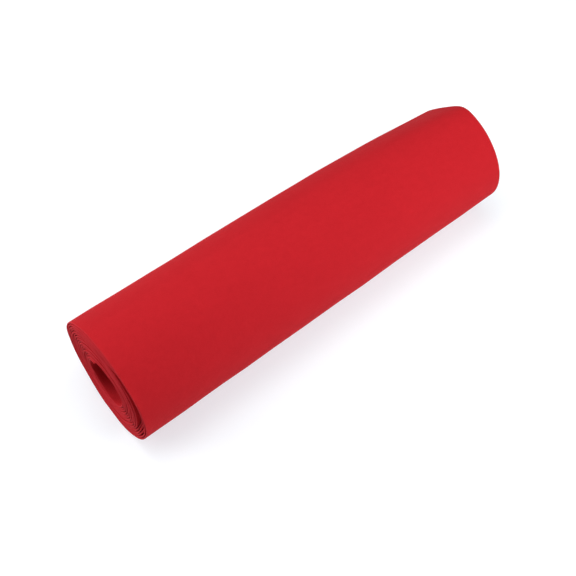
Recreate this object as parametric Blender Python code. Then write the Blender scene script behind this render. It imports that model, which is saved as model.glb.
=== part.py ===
"""A roll of felt lying on its side: one length of cloth wound on itself around an open hollow.

The roll lies along X. Its near end, where the turns show, is at -X and its front is at -Y.
Angles go round the section from the back (+Y) over the top (+Z) to the front (-Y).
The cloth winds outwards as the angle falls.
"""

import math

import bmesh
import bpy
from mathutils import Vector

# Driving sizes in metres; a pair is the near end's size and the far end's
CLOTH_WIDTH = 0.450
CLOTH_THICKNESS = 0.00185
HALF_WIDTH = (0.0666, 0.0594)
HALF_HEIGHT = (0.0612, 0.0585)
FLAT_SPOT_SINK = 0.0012
END_ROUNDING = 0.0008

# The hollow, from the middle of the section
HOLLOW_BACK = (0.0023, 0.0012)
HOLLOW_DOWN = (0.0054, 0.0040)
HOLLOW_HALF_WIDTH = (0.0275, 0.0242)
HOLLOW_HALF_HEIGHT = (0.0238, 0.0212)

# Where the two ends of the cloth lie, in degrees round the section
INNER_END = 65.0
OUTER_END = -64.0

# The top back of the far half is pressed flat, more and more towards the far end
PRESS_START = 0.56
PRESS_ANGLE = 42.7
OUTER_PRESS = 0.0117
OUTER_SOFTNESS = 0.0052
HOLLOW_PRESS = 0.0070
HOLLOW_SOFTNESS = 0.0045

# Over the last fifth the roll leans back, so that its far end is cut at a slant
SLANT_START = 0.80
SLANT = 0.040
SLANT_ANGLE = 21.0

# The crescent gap under the loose outer turns, at the near end
LOOSE_FROM = 92.0
LOOSE_TO = 207.0
LOOSE_PLACE = 0.87
LOOSE_WIDTH = 0.0044
LOOSE_DEPTH = 0.060

# How finely the shape is divided
ROUND_STEPS = 108
HOLLOW_STEPS = 54
LOOSE_STEPS = 26
STATIONS = (0.0, 0.14, 0.30, 0.45, 0.54, 0.62, 0.69, 0.75, 0.81, 0.86, 0.91, 0.955, 1.0)

FELT_RED = (0.604, 0.0212, 0.0284, 1.0)


def between(pair, along):
    return pair[0] + (pair[1] - pair[0]) * along


def pressed(y, z, along, half_width, half_height, amount, softness):
    """The point drawn in behind a flat that sinks from the ellipse, with a soft bend at its rim."""
    share = (along - PRESS_START) / (1 - PRESS_START)
    if share <= 0:
        return y, z
    back = math.cos(math.radians(PRESS_ANGLE))
    up = math.sin(math.radians(PRESS_ANGLE))
    reach = math.hypot(half_width * back, half_height * up)
    flat = reach + 2 * softness - (2 * softness + amount) * share
    out = y * back + z * up
    drawn = flat - softness * math.log1p(math.exp((flat - out) / softness)) - out
    return y + drawn * back, z + drawn * up


def inset_ellipse(angle, half_width, half_height, inset):
    turn = math.radians(angle)
    y = half_width * math.cos(turn)
    z = half_height * math.sin(turn)
    keep = 1 - inset / math.hypot(y, z)
    return y * keep, z * keep


def placed(y, z, along):
    """The section stands on its flat spot, with its back and front equally far from the middle."""
    turned = (-90 - OUTER_END) % 360 / 360
    height = between(HALF_HEIGHT, along) - CLOTH_THICKNESS * turned - FLAT_SPOT_SINK
    return y - CLOTH_THICKNESS / 4, z + height


def outer_point(angle, along, rounding=0.0):
    """A point of the outermost turn, which lies one thickness further out at its end than one turn before."""
    turned = (angle - OUTER_END) / 360
    size = between(HALF_WIDTH, along), between(HALF_HEIGHT, along)
    y, z = inset_ellipse(angle, *size, CLOTH_THICKNESS * turned + rounding)
    y, z = pressed(y, z, along, *size, OUTER_PRESS, OUTER_SOFTNESS)
    y, z = placed(y, z, along)
    return y, max(0.4 * rounding, z)


def hollow_point(angle, along):
    """A point of the innermost turn, which starts one thickness inside its own next turn."""
    turned = (INNER_END - angle) / 360
    size = between(HOLLOW_HALF_WIDTH, along), between(HOLLOW_HALF_HEIGHT, along)
    y, z = inset_ellipse(angle, *size, CLOTH_THICKNESS * (1 - turned))
    y, z = pressed(y, z, along, *size, HOLLOW_PRESS, HOLLOW_SOFTNESS)
    return placed(y + between(HOLLOW_BACK, along), z - between(HOLLOW_DOWN, along), along)


def between_point(angle, along, place):
    """A point part of the way from the hollow, at 0, to the outside, at 1."""
    inner = hollow_point(INNER_END - (INNER_END - angle) % 360, along)
    outer = outer_point(OUTER_END + (angle - OUTER_END) % 360, along)
    return tuple(a + (b - a) * place for a, b in zip(inner, outer))


def lofted(name, rings):
    """A closed mesh through rings of equal length, each running round from +Y over +Z."""
    mesh = bmesh.new()
    rows = [[mesh.verts.new(point) for point in ring] for ring in rings]
    count = len(rows[0])
    for left, right in zip(rows, rows[1:]):
        for i in range(count):
            j = (i + 1) % count
            mesh.faces.new((left[i], left[j], right[j], right[i]))
    mesh.faces.new(rows[0][::-1])
    mesh.faces.new(rows[-1])
    bmesh.ops.recalc_face_normals(mesh, faces=mesh.faces)
    data = bpy.data.meshes.new(name)
    mesh.to_mesh(data)
    mesh.free()
    piece = bpy.data.objects.new(name, data)
    bpy.context.scene.collection.objects.link(piece)
    return piece


def leaned(x, points, along):
    """The section's points at x, or further in the further they lie from the slant's highest point."""
    turn = math.radians(SLANT_ANGLE)
    share = max(0.0, (along - SLANT_START) / (1 - SLANT_START))
    slope = SLANT * share * share * (3 - 2 * share)
    highest = max(y * math.cos(turn) + z * math.sin(turn) for y, z in outline(along, END_ROUNDING))
    ring = []
    for y, z in points:
        ring.append(Vector((x - slope * (highest - y * math.cos(turn) - z * math.sin(turn)), y, z)))
    return ring


def at(along, offset=0.0):
    return (along - 0.5) * CLOTH_WIDTH + offset


def outline(along, rounding=0.0):
    angles = [OUTER_END + 360 * i / ROUND_STEPS for i in range(ROUND_STEPS + 1)]
    return [outer_point(angle, along, rounding) for angle in angles]


def outer_ring(along, x, rounding=0.0):
    return leaned(x, outline(along, rounding), along)


def hollow_ring(along, x):
    angles = [INNER_END - 360 * i / HOLLOW_STEPS for i in range(HOLLOW_STEPS, -1, -1)]
    return leaned(x, [hollow_point(angle, along) for angle in angles], along)


def roll_body():
    rings = [outer_ring(0.0, at(0), END_ROUNDING)]
    rings.append(outer_ring(0.0, at(0, END_ROUNDING)))
    rings += [outer_ring(along, at(along)) for along in STATIONS[1:-1]]
    rings.append(outer_ring(1.0, at(1, -END_ROUNDING)))
    rings.append(outer_ring(1.0, at(1), END_ROUNDING))
    return lofted("felt_roll", rings)


def hollow_cutter():
    rings = [hollow_ring(0.0, at(0, -0.002))]
    rings += [hollow_ring(along, at(along)) for along in STATIONS[1:-1]]
    rings.append(hollow_ring(1.0, at(1, 0.002)))
    return lofted("hollow_cutter", rings)


def loose_cutter():
    """The gap under the loose turns: a thin crescent that closes up inside the roll."""
    rings = []
    for depth in (-0.05, 0.25, 0.5, 0.75, 1.0):
        opening = LOOSE_WIDTH * (1 - 0.92 * max(0.0, depth)) / 2
        x = at(0, depth * LOOSE_DEPTH)
        sides = ([], [])
        for i in range(LOOSE_STEPS + 1):
            angle = LOOSE_FROM + (LOOSE_TO - LOOSE_FROM) * i / LOOSE_STEPS
            swell = 0.04 + max(0.0, math.sin(math.pi * i / LOOSE_STEPS)) ** 0.7
            middle = Vector(between_point(angle, 0.0, LOOSE_PLACE))
            outward = Vector((math.cos(math.radians(angle)), math.sin(math.radians(angle))))
            for side, sign in zip(sides, (1, -1)):
                side.append(Vector((x, *(middle + outward * sign * opening * swell))))
        rings.append(sides[0] + sides[1][::-1])
    return lofted("loose_cutter", rings)


def cut(piece, cutter):
    cutter.hide_render = True
    cutter.display_type = "WIRE"
    modifier = piece.modifiers.new("cut_" + cutter.name, "BOOLEAN")
    modifier.operation = "DIFFERENCE"
    modifier.solver = "EXACT"
    modifier.object = cutter


def felt():
    material = bpy.data.materials.new("red_felt")
    material.use_nodes = True
    shader = material.node_tree.nodes["Principled BSDF"]
    shader.inputs["Base Color"].default_value = FELT_RED
    shader.inputs["Roughness"].default_value = 0.95
    shader.inputs["Metallic"].default_value = 0.0
    shader.inputs["Sheen Weight"].default_value = 0.3
    return material


def main():
    for old in list(bpy.data.objects):
        bpy.data.objects.remove(old, do_unlink=True)
    roll = roll_body()
    cut(roll, hollow_cutter())
    cut(roll, loose_cutter())
    roll.data.materials.append(felt())
    roll.data.shade_smooth()
    roll.data.set_sharp_from_angle(angle=math.radians(35))


main()
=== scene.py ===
import math
import random

import bpy
import numpy as np
from mathutils import Matrix, Vector


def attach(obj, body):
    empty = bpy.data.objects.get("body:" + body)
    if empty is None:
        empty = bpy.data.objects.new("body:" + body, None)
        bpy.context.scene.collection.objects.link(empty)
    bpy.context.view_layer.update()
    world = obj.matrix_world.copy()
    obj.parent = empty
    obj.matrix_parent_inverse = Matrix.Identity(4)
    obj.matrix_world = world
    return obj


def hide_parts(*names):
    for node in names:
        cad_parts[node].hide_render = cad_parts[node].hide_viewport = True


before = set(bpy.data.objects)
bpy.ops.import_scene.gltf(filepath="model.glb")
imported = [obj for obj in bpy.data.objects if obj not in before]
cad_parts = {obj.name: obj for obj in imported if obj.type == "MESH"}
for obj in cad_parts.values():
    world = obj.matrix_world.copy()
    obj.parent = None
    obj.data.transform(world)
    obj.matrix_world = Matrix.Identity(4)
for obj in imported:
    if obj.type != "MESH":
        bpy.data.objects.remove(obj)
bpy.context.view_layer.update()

# The roll's sizes, in metres and degrees, as the solid has them; a pair is the near end's and the far end's
CLOTH_WIDTH = 0.450
THICKNESS = 0.00185
HALF_WIDTH = (0.0666, 0.0594)
HALF_HEIGHT = (0.0612, 0.0585)
FLAT_SPOT_SINK = 0.0012
HOLLOW_BACK = (0.0023, 0.0012)
HOLLOW_DOWN = (0.0054, 0.0040)
HOLLOW_HALF_WIDTH = (0.0275, 0.0242)
HOLLOW_HALF_HEIGHT = (0.0238, 0.0212)
INNER_END = 65.0
OUTER_END = -64.0
PRESS_START = 0.56
PRESS_ANGLE = 42.7
OUTER_PRESS = 0.0117
OUTER_SOFTNESS = 0.0052
HOLLOW_PRESS = 0.0070
HOLLOW_SOFTNESS = 0.0045
SLANT_START = 0.80
SLANT = 0.040
SLANT_ANGLE = 21.0

# The winding, and the cloth's length when it lies flat
FULL_TURNS = 16
TURNS = FULL_TURNS + (INNER_END - OUTER_END) / 360
MOST_FILLED = 0.985
LEAST_GAP = 0.00004

# The slack between the turns: none by the cloth's two ends, and unevenly shared out further in
TIGHT_END = 0.6
UNEVEN_SLACK = 0.45
UNEVEN_TURNS = (0.8, 2.2, TURNS - 2.4, TURNS - 1.2)

# The outline runs as far out as the cloth's outer end. Under the roll the cloth is most of a turn further
# in, so there the outline runs below the floor, and the cloth itself lies on the floor.
OUTLINE_LOWEST = -0.925 * THICKNESS
OUTLINE_SOFTNESS = 0.00012

# The loose gaps at the near end: the turns that lie inside the gap, its width, the angles where it starts,
# where it ends and where it is widest, and how deep into the roll it reaches
LOOSE_GAPS = (
    (11.40, 0.0028, 60.0, 196.0, 98.0, 0.060),
    (13.30, 0.0036, 100.0, 216.0, 158.0, 0.075),
    (14.28, 0.0024, 124.0, 214.0, 180.0, 0.055),
)
GAP_STEP = 0.25
MOST_OF_SLACK = 0.3

# At the near end the front of the outermost turn opens outwards a little
FLARE = 0.0011
FLARE_DEPTH = 0.007
FLARE_ANGLES = (88, 112, 178, 200)
FLARE_TURNS = (TURNS - 1.05, TURNS - 0.95)

# The cut edges: how far they lie inside the roll's full length, how far in the cloth is moved with them,
# and how round they are
EDGE_INSET = 0.00060
EDGE_FINE_WAVES = 0.00026
EDGE_SLOW_WAVES = 0.00040
LEAST_INSET, MOST_INSET = 0.00002, 0.003
EDGE_START, EDGE_REACH = 0.001, 0.03
EDGE_ROUND = 0.0010
ROUND_POINTS = 5

# Near end: some turns are sunk in at the front, the lower front stands out, and so does the inner tip
SUNK = 0.0052
SUNK_TURNS = (11.2, 11.7, 14.2, 14.4)
SUNK_ANGLES = (100, 142, 180, 210)
STANDS_OUT = 0.0029
STANDS_OUT_ANGLE = 242
STANDS_OUT_TURNS = (2, 12)
TIP_STANDS_OUT = 0.0019
TIP_TURNS = (0.02, 0.16)

# Far end: the top back corner is drawn in, and the top stands out
CORNER_DRAWN_IN = 0.0026
CORNER_ANGLES = (-15, 16, 16, 42)
TOP_STANDS_OUT = 0.0014
TOP_ANGLES = (42, 72, 72, 112)

# The largest bumps and dents of the surface, and the height from which they go in or out
UNEVENNESS = 0.00034
SECTION_MIDDLE = HALF_HEIGHT[0] - 0.0029

# Rows of points in a turn, at the inner end and how many more at the outer end, and the shortest last step
ROWS_IN_TURN, MORE_ROWS = 58, 46
LAST_STEP = 0.012

# Distances from each end at which the cloth has points along its length, closer together by the ends
NEAR_PLACES = (
    0.0009, 0.003, 0.006, 0.010, 0.015, 0.021, 0.029, 0.039, 0.052, 0.068, 0.090, 0.118, 0.152, 0.190,
)
FAR_PLACES = (
    0.215, 0.185, 0.158, 0.134, 0.112, 0.092, 0.074, 0.058, 0.044, 0.032, 0.022, 0.0135, 0.0065, 0.0009,
)

# Felt colours
SOFT_DARK = (0.428, 0.0085, 0.0135)
SOFT_LIGHT = (0.457, 0.0098, 0.0152)
CLOUDY = (0.404, 0.0078, 0.0123)
FIBRES = (0.50, 0.0140, 0.0210)
# Painted light: the paler red of the cut edges stands in for the light that falls on the roll's end faces
PAINTED_LIGHT_CUT_EDGE = (0.475, 0.0170, 0.0250)
FUZZ_TINT = (1.0, 0.25, 0.27, 1)

# The view of the photograph
ELEVATION, TURN, DISTANCE = 57.72, 38.47, 1.2376
TARGET = Vector((-0.0261, -0.0210, 0.050))
FOCAL_PIXELS, PICTURE_PIXELS = 1268.9, 576
SENSOR_WIDTH = 36

# The floor glows a little, so that it stays near white with soft shadows
FLOOR_GREY, FLOOR_GLOW = 0.50, 0.60
FLOOR_GLOW_COLOUR = (0.855, 0.94, 1, 1)
FLOOR_HALF_SIDE = 30.0
FLOOR_DROP = 0.0001

# Soft square lights around the roll: name, degrees round from the picture's right over its far side, height
# in degrees, watts, how far along the roll the light aims, its spread in degrees, its distance and its side
LIGHTS = (
    ("front_right_low", 320, 20, 2.4, 0.16, 180, 0.75, 0.45),
    ("front_right", 320, 35, 2.1, 0.16, 180, 0.75, 0.45),
    ("front_right_high", 320, 50, 0.53, 0.16, 180, 0.75, 0.45),
    ("left", 180, 15, 11.8, 0, 180, 1.5, 0.9),
    ("left_narrow", 180, 15, 1.25, 0, 60, 1.5, 0.9),
    ("left_high", 180, 45, 0.9, 0, 180, 1.5, 0.9),
    ("back_left", 135, 45, 6.0, 0, 180, 1.5, 0.9),
    ("above_right", 0, 75, 3.6, 0, 180, 1.5, 0.9),
    ("above_back", 90, 75, 3.3, 0, 180, 1.5, 0.9),
    ("above_left", 180, 75, 8.5, 0, 180, 1.5, 0.9),
)
LIGHT_AIM = Vector((0, 0, 0.06))
SKY_LIGHT = 0.0


def smooth(x, low, high):
    t = np.clip((x - low) / (high - low), 0.0, 1.0)
    return t * t * (3 - 2 * t)


def hump(x, start, rise_end, fall_start, end):
    """0 outside start to end, 1 from rise_end to fall_start."""
    return smooth(x, start, rise_end) * (1 - smooth(x, fall_start, end))


def waves(seed, count, longest, shortest):
    """A fixed sum of slow waves, as a function of one number, from -1 to 1 or so."""
    rng = random.Random(seed)
    terms = []
    for _ in range(count):
        length = longest * (shortest / longest) ** rng.random()
        phase = rng.uniform(0, 2 * math.pi)
        terms.append((2 * math.pi / length, phase, rng.uniform(0.4, 1)))
    norm = math.sqrt(sum(a * a for _, _, a in terms) / 2)
    return lambda x: sum(a * np.sin(k * x + p) for k, p, a in terms) / (norm * 1.6)


# Some turns lie closer to the next, some further off
SPACING = waves(31, 9, 3.0, 0.45)

# Slow unevenness, the same for all turns so that they never meet
RIPPLE_ALONG = waves(12, 7, 0.30, 0.06)
RIPPLE_SLANT = waves(13, 8, 0.22, 0.05)

# The cut edges waver, in turns from the inner end
EDGE_NEAR = waves(21, 9, 1.3, 0.11)
EDGE_FAR = waves(22, 9, 1.5, 0.13)
EDGE_TURN_NEAR = waves(23, 6, 5.0, 1.3)
EDGE_TURN_FAR = waves(24, 6, 5.0, 1.3)


def between(pair, along):
    return pair[0] + (pair[1] - pair[0]) * along


def angle_at(turned):
    """The place round the section, from -90 to 270 degrees, at turned turns from the inner end."""
    return (INNER_END - 360 * turned + 90) % 360 - 90


def inward(x, depth):
    """How far into the roll x lies from the near end, as a share of depth from 0 to 1."""
    return np.clip((x + CLOTH_WIDTH / 2) / depth, 0, 1)


def ellipse(angle, size):
    turn = np.radians(angle)
    return size[0] * np.cos(turn), size[1] * np.sin(turn)


def pressed(y, z, along, size, amount, softness):
    """The point drawn in behind a flat that sinks from the ellipse, with a soft bend at its rim."""
    share = np.clip((along - PRESS_START) / (1 - PRESS_START), 0, None)
    back = math.cos(math.radians(PRESS_ANGLE))
    up = math.sin(math.radians(PRESS_ANGLE))
    flat = np.hypot(size[0] * back, size[1] * up) + 2 * softness - (2 * softness + amount) * share
    out = y * back + z * up
    drawn = flat - softness * np.log1p(np.exp(np.clip((flat - out) / softness, -50, 50))) - out
    drawn = np.where(share > 0, drawn, 0.0)
    return y + drawn * back, z + drawn * up


def placed(y, z, along):
    """The section stands on its flat spot, with its back and front equally far from the middle."""
    turned = (-90 - OUTER_END) % 360 / 360
    return y - THICKNESS / 4, z + between(HALF_HEIGHT, along) - THICKNESS * turned - FLAT_SPOT_SINK


def outside(angle, along):
    """A point of the outline, flattened where the roll lies on the floor."""
    size = between(HALF_WIDTH, along), between(HALF_HEIGHT, along)
    y, z = pressed(*ellipse(angle, size), along, size, OUTER_PRESS, OUTER_SOFTNESS)
    y, z = placed(y, z, along)
    above = np.logaddexp(0, (z - OUTLINE_LOWEST) / OUTLINE_SOFTNESS)
    return y, OUTLINE_LOWEST + OUTLINE_SOFTNESS * above


def hollow(angle, along):
    """A point of the hollow's wall."""
    size = between(HOLLOW_HALF_WIDTH, along), between(HOLLOW_HALF_HEIGHT, along)
    y, z = pressed(*ellipse(angle, size), along, size, HOLLOW_PRESS, HOLLOW_SOFTNESS)
    return placed(y + between(HOLLOW_BACK, along), z - between(HOLLOW_DOWN, along), along)


def leaned(x, y, z, along):
    """The far end's points drawn in the further they lie from the slant's highest point."""
    turn = math.radians(SLANT_ANGLE)
    rim = outside(np.arange(OUTER_END, OUTER_END + 360, 2.0), 1.0)
    highest = (rim[0] * math.cos(turn) + rim[1] * math.sin(turn)).max()
    slope = SLANT * smooth(along, SLANT_START, 1.0)
    return x - slope * (highest - y * math.cos(turn) - z * math.sin(turn))


def gap_width(row, angle, x):
    _, width, start, end, widest, depth = row
    return width * hump(angle, start, widest, widest, end) * (1 - inward(x, depth)) ** 1.3


def loose_gaps(turned, angle, x, slack):
    """The width of all the loose gaps here, and of those that turned turns have passed."""
    loose = np.zeros_like(slack)
    passed = np.zeros_like(slack)
    for row in LOOSE_GAPS:
        width = np.minimum(gap_width(row, angle, x), MOST_OF_SLACK * slack)
        loose = loose + width
        passed = passed + width * smooth(turned, row[0] - GAP_STEP, row[0] + GAP_STEP)
    return loose, passed


def share_of_slack(turned, x):
    """How much of the evenly spread slack lies below this turn, from 0 to 1 or so."""
    even = np.clip((turned - TIGHT_END) / (TURNS - 2 * TIGHT_END), 0, 1)
    settled = hump(turned, *UNEVEN_TURNS)
    return even + UNEVEN_SLACK / TURNS * settled * np.clip(SPACING(turned + 2.0 * x), -1, 1)


def flare(turned, angle, x):
    widest = hump(angle, *FLARE_ANGLES) * smooth(turned, *FLARE_TURNS)
    return FLARE * widest * (1 - inward(x, FLARE_DEPTH)) ** 2


def layer_points(turned, x):
    """The inner and outer face of the cloth, at turned turns from its inner end and at x."""
    along = x / CLOTH_WIDTH + 0.5
    angle = angle_at(turned)
    hollow_y, hollow_z = hollow(angle, along)
    outer_y, outer_z = outside(angle, along)
    wall_y, wall_z = outer_y - hollow_y, outer_z - hollow_z
    wall = np.hypot(wall_y, wall_z)
    thick = np.minimum(THICKNESS, MOST_FILLED * wall / TURNS)
    slack = wall - thick * TURNS
    loose, passed = loose_gaps(turned, angle, x, slack)
    offset = thick * turned + (slack - loose) * share_of_slack(turned, x) + passed + flare(turned, angle, x)
    faces = []
    for share in ((offset - thick + LEAST_GAP) / wall, offset / wall):
        faces.append((hollow_y + wall_y * share, hollow_z + wall_z * share))
    return faces


def uneven(y, z, x):
    """The section's points moved a little in or out, by up to half a millimetre."""
    up = z - SECTION_MIDDLE
    reach = np.hypot(y, up)
    angle = np.degrees(np.arctan2(up, y))
    lift = RIPPLE_ALONG(x + 0.0006 * angle) * (0.6 + 0.4 * np.cos(np.radians(angle * 2 + 40)))
    lift = lift + 0.7 * RIPPLE_SLANT(x * 0.8 - reach * np.radians(np.abs(angle)) * 0.5)
    size = UNEVENNESS * smooth(reach, 0.02, 0.06) * smooth(z, 0.002, 0.014)
    factor = 1 + lift * size / reach
    return y * factor, SECTION_MIDDLE + up * factor


def winding():
    """Turns from the inner end at which the cloth has a row of points."""
    turned, places = 0.0, [0.0]
    while turned < TURNS - LAST_STEP:
        turned += 1 / (ROWS_IN_TURN + MORE_ROWS * turned / TURNS)
        places.append(turned)
    places[-1] = TURNS
    return np.array(places)


def wavering_inset(turned, fine, slow):
    inset = EDGE_INSET + EDGE_FINE_WAVES * fine(turned) + EDGE_SLOW_WAVES * slow(turned)
    return np.clip(inset, LEAST_INSET, MOST_INSET)


def near_inset(turned):
    """How far the near cut edge lies inside the roll's full length."""
    angle = angle_at(turned)
    inset = wavering_inset(turned, EDGE_NEAR, EDGE_TURN_NEAR)
    inset = inset + SUNK * hump(turned, *SUNK_TURNS) * hump(angle, *SUNK_ANGLES)
    lower_front = np.clip(np.cos(np.radians(angle - STANDS_OUT_ANGLE)), 0, 1) ** 1.5
    inset = inset - STANDS_OUT * lower_front * (0.65 + 0.35 * smooth(turned, *STANDS_OUT_TURNS))
    return inset - TIP_STANDS_OUT * (1 - smooth(turned, *TIP_TURNS))


def far_inset(turned):
    """How far the far cut edge lies inside the roll's full length."""
    angle = angle_at(turned)
    inset = wavering_inset(turned, EDGE_FAR, EDGE_TURN_FAR)
    inset = inset + CORNER_DRAWN_IN * hump(angle, *CORNER_ANGLES)
    return inset - TOP_STANDS_OUT * hump(angle, *TOP_ANGLES)


def end_faces(index, count):
    """The faces that close the cloth's two ends, each a row of strips with a rounded strip at each side."""
    faces = []
    for row, turned_over in ((index[0], False), (index[-1], True)):
        inner = row[:count]
        far_rim = row[count:count + ROUND_POINTS]
        outer = row[count + ROUND_POINTS:2 * count + ROUND_POINTS][::-1]
        near_rim = row[2 * count + ROUND_POINTS:]
        strips = [[inner[i], inner[i + 1], outer[i + 1], outer[i]] for i in range(count - 1)]
        strips.append([inner[-1], *far_rim, outer[-1]])
        strips.append([outer[0], *near_rim, inner[0]])
        faces += [strip[::-1] if turned_over else strip for strip in strips]
    return faces


def felt_cloth():
    """The whole length of felt as one closed skin: both faces, both cut edges and both ends."""
    half = CLOTH_WIDTH / 2
    along = np.array([-half + d for d in NEAR_PLACES] + [half - d for d in FAR_PLACES])
    count = len(along)
    arc = np.linspace(0, math.pi, ROUND_POINTS + 2)[1:-1]
    rim, rim_depth = EDGE_ROUND * (1 - np.sin(arc)), 0.5 - 0.5 * np.cos(arc)
    ring_x = np.concatenate([along, half - rim, along[::-1], rim - half])
    depth = np.concatenate([np.zeros(count), rim_depth, np.ones(count), rim_depth[::-1]])
    places = winding()
    turned = places[:, None] + 0 * ring_x[None]
    x = ring_x[None] + 0 * turned
    near_pull = 1 - smooth(x, -half + EDGE_START, -half + EDGE_REACH)
    far_pull = smooth(x, half - EDGE_REACH, half - EDGE_START)
    x = x + near_inset(turned) * near_pull - far_inset(turned) * far_pull
    inner, outer = layer_points(turned, x)
    y = inner[0] + (outer[0] - inner[0]) * depth[None]
    z = inner[1] + (outer[1] - inner[1]) * depth[None]
    y, z = uneven(y, z, x)
    x = leaned(x, y, z, x / CLOTH_WIDTH + 0.5)
    points = np.stack([x, y, z], -1)
    rows, loop = turned.shape
    index = np.arange(rows * loop).reshape(rows, loop)
    a, b = index[:-1], index[1:]
    quads = np.stack([a, np.roll(a, -1, 1), np.roll(b, -1, 1), b], -1).reshape(-1, 4)
    mesh = bpy.data.meshes.new("felt_cloth")
    faces = quads[:, ::-1].tolist() + end_faces(index, count)
    mesh.from_pydata(points.reshape(-1, 3).tolist(), [], faces)
    mesh.validate()
    mesh.update()
    # The cut-edge points, which carry the painted light: a paler red standing in for the light on the end
    # faces
    painted_light_edges = np.tile((depth > 0) & (depth < 1), rows).astype(np.float32)
    mesh.attributes.new("cut_edge_painted_light", "FLOAT", "POINT").data.foreach_set("value", painted_light_edges)
    mesh.shade_smooth()
    mesh.set_sharp_from_angle(angle=math.radians(60))
    cloth = bpy.data.objects.new("felt_cloth", mesh)
    bpy.context.scene.collection.objects.link(cloth)
    return cloth


def felt_material():
    """Red felt, cloudy and fibrous, with painted light: a paler red along its cut edges stands in for the
    light on the end faces.
    """
    material = bpy.data.materials.new("red_felt")
    material.use_nodes = True
    tree = material.node_tree
    nodes, links = tree.nodes, tree.links
    shader = nodes["Principled BSDF"]
    shader.inputs["Roughness"].default_value = 0.90
    shader.inputs["Specular IOR Level"].default_value = 0.11
    shader.inputs["Sheen Weight"].default_value = 0.02
    shader.inputs["Sheen Roughness"].default_value = 0.45
    shader.inputs["Sheen Tint"].default_value = FUZZ_TINT
    place = nodes.new("ShaderNodeTexCoord")

    def noise(scale, detail, roughness, distortion=0.0):
        node = nodes.new("ShaderNodeTexNoise")
        node.inputs["Scale"].default_value = scale
        node.inputs["Detail"].default_value = detail
        node.inputs["Roughness"].default_value = roughness
        node.inputs["Distortion"].default_value = distortion
        links.new(place.outputs["Object"], node.inputs["Vector"])
        return node.outputs["Fac"]

    def blend(factor, low, high, first, second):
        spread = nodes.new("ShaderNodeMapRange")
        spread.inputs["From Min"].default_value = low
        spread.inputs["From Max"].default_value = high
        links.new(factor, spread.inputs["Value"])
        mix = nodes.new("ShaderNodeMix")
        mix.data_type = "RGBA"
        links.new(spread.outputs["Result"], mix.inputs["Factor"])
        for socket, colour in ((mix.inputs["A"], first), (mix.inputs["B"], second)):
            if isinstance(colour, tuple):
                socket.default_value = (*colour, 1)
            else:
                links.new(colour, socket)
        return mix.outputs["Result"]

    def bump(height, strength, distance, under=None):
        node = nodes.new("ShaderNodeBump")
        node.inputs["Strength"].default_value = strength
        node.inputs["Distance"].default_value = distance
        links.new(height, node.inputs["Height"])
        if under:
            links.new(under, node.inputs["Normal"])
        return node.outputs["Normal"]

    soft = blend(noise(16, 3, 0.5), 0.35, 0.65, SOFT_DARK, SOFT_LIGHT)
    cloudy = blend(noise(160, 4, 0.6, 0.4), 0.25, 0.75, soft, CLOUDY)
    fibres = blend(noise(1700, 3, 0.7, 2.2), 0.38, 0.70, cloudy, FIBRES)
    # Painted light: the cut edges are mixed towards a paler red, standing in for the light on the end faces
    edge = nodes.new("ShaderNodeAttribute")
    edge.attribute_name = "cut_edge_painted_light"
    links.new(blend(edge.outputs["Fac"], 0, 1, fibres, PAINTED_LIGHT_CUT_EDGE), shader.inputs["Base Color"])

    broad = bump(noise(55, 3, 0.5, 0.3), 0.7, 0.0012)
    lumpy = bump(noise(420, 3, 0.6, 0.6), 0.35, 0.0004, broad)
    hairy = bump(noise(2100, 3, 0.75, 2.5), 0.45, 0.00022, lumpy)
    links.new(hairy, shader.inputs["Normal"])
    return material


def camera():
    tilt, turn = math.radians(ELEVATION), math.radians(TURN)
    look = Vector((math.sin(turn) * math.cos(tilt), math.cos(turn) * math.cos(tilt), -math.sin(tilt)))
    right = Vector((math.cos(turn), -math.sin(turn), 0))
    up = right.cross(look)
    data = bpy.data.cameras.new("camera")
    data.sensor_width = SENSOR_WIDTH
    data.lens = FOCAL_PIXELS * SENSOR_WIDTH / PICTURE_PIXELS
    data.clip_start, data.clip_end = 0.05, 50
    seen = bpy.data.objects.new("camera", data)
    facing = Matrix((right, up, -look)).transposed().to_4x4()
    seen.matrix_world = Matrix.Translation(TARGET - look * DISTANCE) @ facing
    bpy.context.scene.collection.objects.link(seen)
    bpy.context.scene.camera = seen


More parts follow.
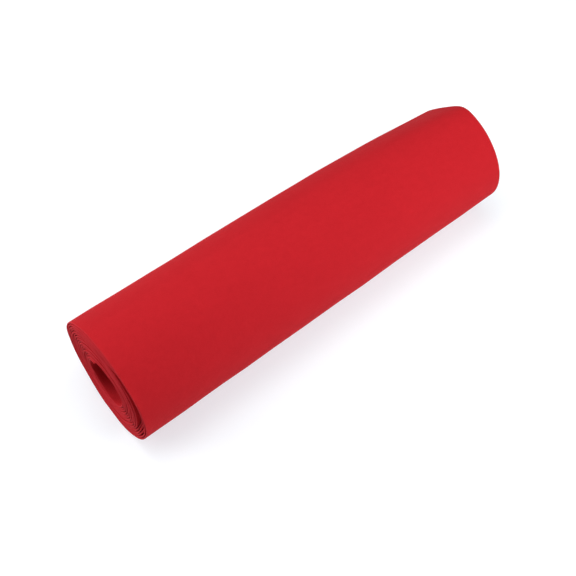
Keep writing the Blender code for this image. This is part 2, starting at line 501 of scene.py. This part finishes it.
def floor_material():
    material = bpy.data.materials.new("pale_floor")
    material.use_nodes = True
    shader = material.node_tree.nodes["Principled BSDF"]
    shader.inputs["Base Color"].default_value = (FLOOR_GREY, FLOOR_GREY, FLOOR_GREY, 1)
    shader.inputs["Roughness"].default_value = 0.9
    shader.inputs["Specular IOR Level"].default_value = 0.0
    shader.inputs["Emission Color"].default_value = FLOOR_GLOW_COLOUR
    shader.inputs["Emission Strength"].default_value = FLOOR_GLOW
    return material


def floor():
    mesh = bpy.data.meshes.new("floor")
    side = FLOOR_HALF_SIDE
    corners = [(-side, -side, 0), (side, -side, 0), (side, side, 0), (-side, side, 0)]
    mesh.from_pydata(corners, [], [(0, 1, 2, 3)])
    mesh.materials.append(floor_material())
    ground = bpy.data.objects.new("floor", mesh)
    ground.location.z = -FLOOR_DROP
    ground.visible_glossy = False
    bpy.context.scene.collection.objects.link(ground)


def area_light(name, at, towards, side, power, spread):
    light = bpy.data.lights.new(name, "AREA")
    light.shape = "RECTANGLE"
    light.size = light.size_y = side
    light.energy = power
    light.spread = math.radians(spread)
    lamp = bpy.data.objects.new(name, light)
    lamp.location = at
    lamp.rotation_euler = (Vector(towards) - Vector(at)).to_track_quat("-Z", "Y").to_euler()
    bpy.context.scene.collection.objects.link(lamp)


def studio():
    world = bpy.data.worlds.new("studio")
    world.use_nodes = True
    world.node_tree.nodes["Background"].inputs["Color"].default_value = (1, 1, 1, 1)
    world.node_tree.nodes["Background"].inputs["Strength"].default_value = SKY_LIGHT
    bpy.context.scene.world = world
    for name, round_from_right, height, watts, along, spread, distance, side in LIGHTS:
        turn, tilt = math.radians(round_from_right - TURN), math.radians(height)
        outwards = Vector((math.cos(turn) * math.cos(tilt), math.sin(turn) * math.cos(tilt), math.sin(tilt)))
        aim = LIGHT_AIM + Vector((along, 0, 0))
        area_light(name, aim + outwards * distance, aim, side, watts, spread)
    bpy.context.scene.view_settings.view_transform = "Standard"
    bpy.context.scene.view_settings.look = "None"


cloth = felt_cloth()
cloth.data.materials.append(felt_material())
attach(cloth, "root")
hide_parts("felt_roll")
camera()
floor()
studio()
